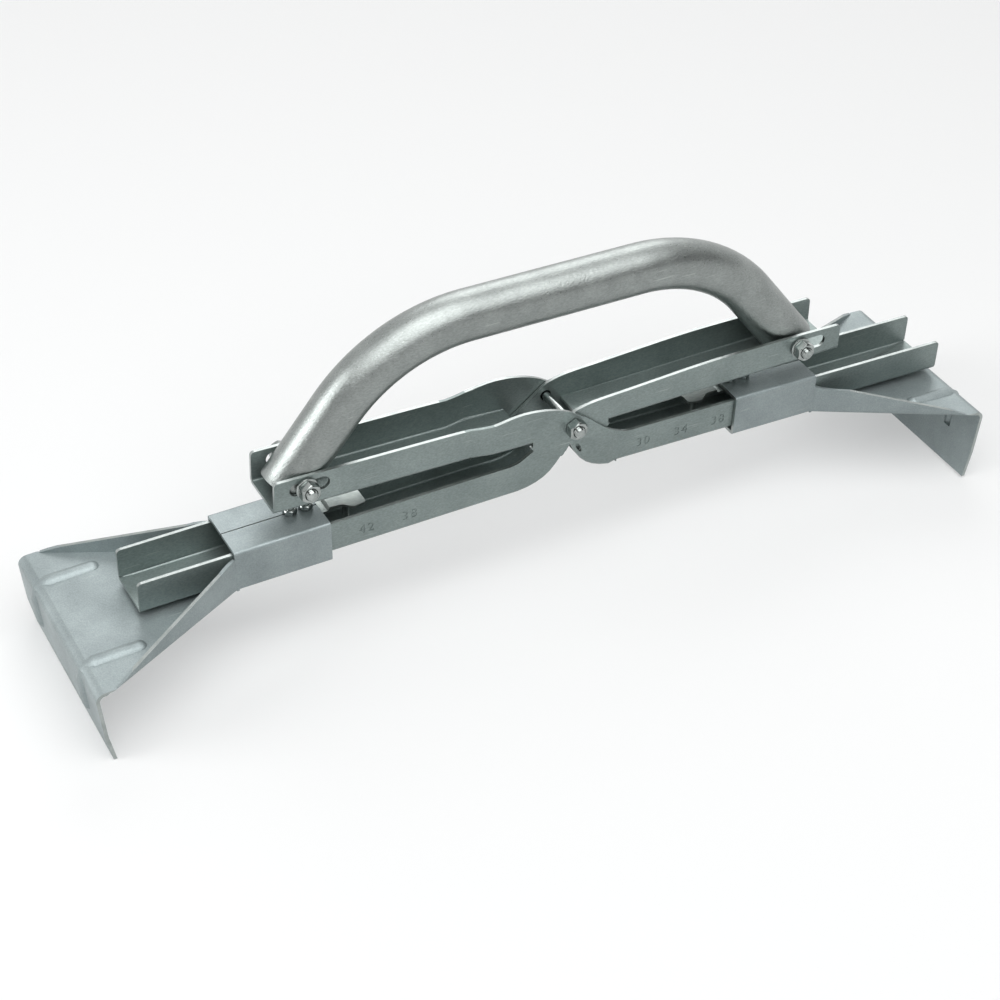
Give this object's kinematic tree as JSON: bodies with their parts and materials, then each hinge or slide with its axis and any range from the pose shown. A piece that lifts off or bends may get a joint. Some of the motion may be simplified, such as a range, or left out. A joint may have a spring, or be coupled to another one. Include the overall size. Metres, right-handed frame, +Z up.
{
  "type": "paving slab lifter",
  "caption": "Scissor-action hand lifter for paving slabs: crossed channel arms, bent tube handle, wide sliding jaws with sprung latches.",
  "frame": {"origin": "on the floor under the middle of the whole tool, standing on the lips of its jaws", "axes": "+Z up, +X along the arms towards the right-hand jaw, +Y away from the side that shows the nuts"},
  "size_m": [0.4336, 0.0952, 0.1432],
  "materials": {
    "channel_zinc": "bright zinc plating on pressed sheet, satin, cool grey",
    "jaw_zinc": "bright zinc plating on pressed sheet, slightly cloudy",
    "tube_zinc": "zinc plated tube, satin with fine grain along it",
    "bolt_zinc": "bright zinc plated fasteners, glossy",
    "spring_steel": "plated spring steel strip"
  },
  "bodies": {
    "outer_arm": {"outer_arm": "channel_zinc", "pivot_bolt": "bolt_zinc", "pivot_nut": "bolt_zinc"},
    "inner_arm": {"inner_arm": "channel_zinc"},
    "left_handle_pin": {"left_handle_bolt": "bolt_zinc", "left_handle_washer": "bolt_zinc", "left_handle_nut": "bolt_zinc"},
    "handle": {"handle_tube": "tube_zinc", "right_handle_bolt": "bolt_zinc", "right_handle_washer": "bolt_zinc", "right_handle_nut": "bolt_zinc"},
    "left_jaw": {"left_jaw": "jaw_zinc", "left_spring_root": "spring_steel", "left_latch_screw_1": "bolt_zinc", "left_latch_nut_1": "bolt_zinc", "left_latch_screw_2": "bolt_zinc", "left_latch_nut_2": "bolt_zinc"},
    "right_jaw": {"right_jaw": "jaw_zinc", "right_spring_root": "spring_steel", "right_latch_screw_1": "bolt_zinc", "right_latch_nut_1": "bolt_zinc", "right_latch_screw_2": "bolt_zinc", "right_latch_nut_2": "bolt_zinc"},
    "left_latch": {"left_latch_tongue": "spring_steel"},
    "right_latch": {"right_latch_tongue": "spring_steel"}
  },
  "joints": [
    {"name": "scissor", "type": "hinge", "parent": "outer_arm", "child": "inner_arm", "pos_m": [0.01559, 0, 0.07055], "axis": [0, -1, 0], "range_deg": [0, 16]},
    {"name": "handle_shift", "type": "slide", "parent": "outer_arm", "child": "left_handle_pin", "axis": [-0.9999, 0, 0.0166], "range_m": [0, 0.0015]},
    {"name": "handle_turn", "type": "hinge", "parent": "left_handle_pin", "child": "handle", "pos_m": [-0.109, 0, 0.07875], "axis": [0, -1, 0], "range_deg": [0, 7.8]},
    {"name": "right_jaw_slide", "type": "slide", "parent": "outer_arm", "child": "right_jaw", "axis": [0.9999, 0, -0.0166], "range_m": [-0.04, 0.06]},
    {"name": "left_jaw_slide", "type": "slide", "parent": "inner_arm", "child": "left_jaw", "axis": [-0.9999, 0, -0.0166], "range_m": [-0.07, 0.03]},
    {"name": "right_latch_lift", "type": "hinge", "parent": "right_jaw", "child": "right_latch", "pos_m": [0.09954, 0, 0.05654], "axis": [0, 1, 0], "range_deg": [-8.2, 14], "stiffness_Nm_per_rad": 0.5},
    {"name": "left_latch_lift", "type": "hinge", "parent": "left_jaw", "child": "left_latch", "pos_m": [-0.09954, 0, 0.05535], "axis": [0, -1, 0], "range_deg": [-8.2, 14], "stiffness_Nm_per_rad": 0.5}
  ],
  "couplings": [
    {"joint": "handle_shift", "follows": "scissor", "m_per_rad": 0.0052},
    {"joint": "handle_turn", "follows": "scissor", "ratio": 0.4855}
  ]
}
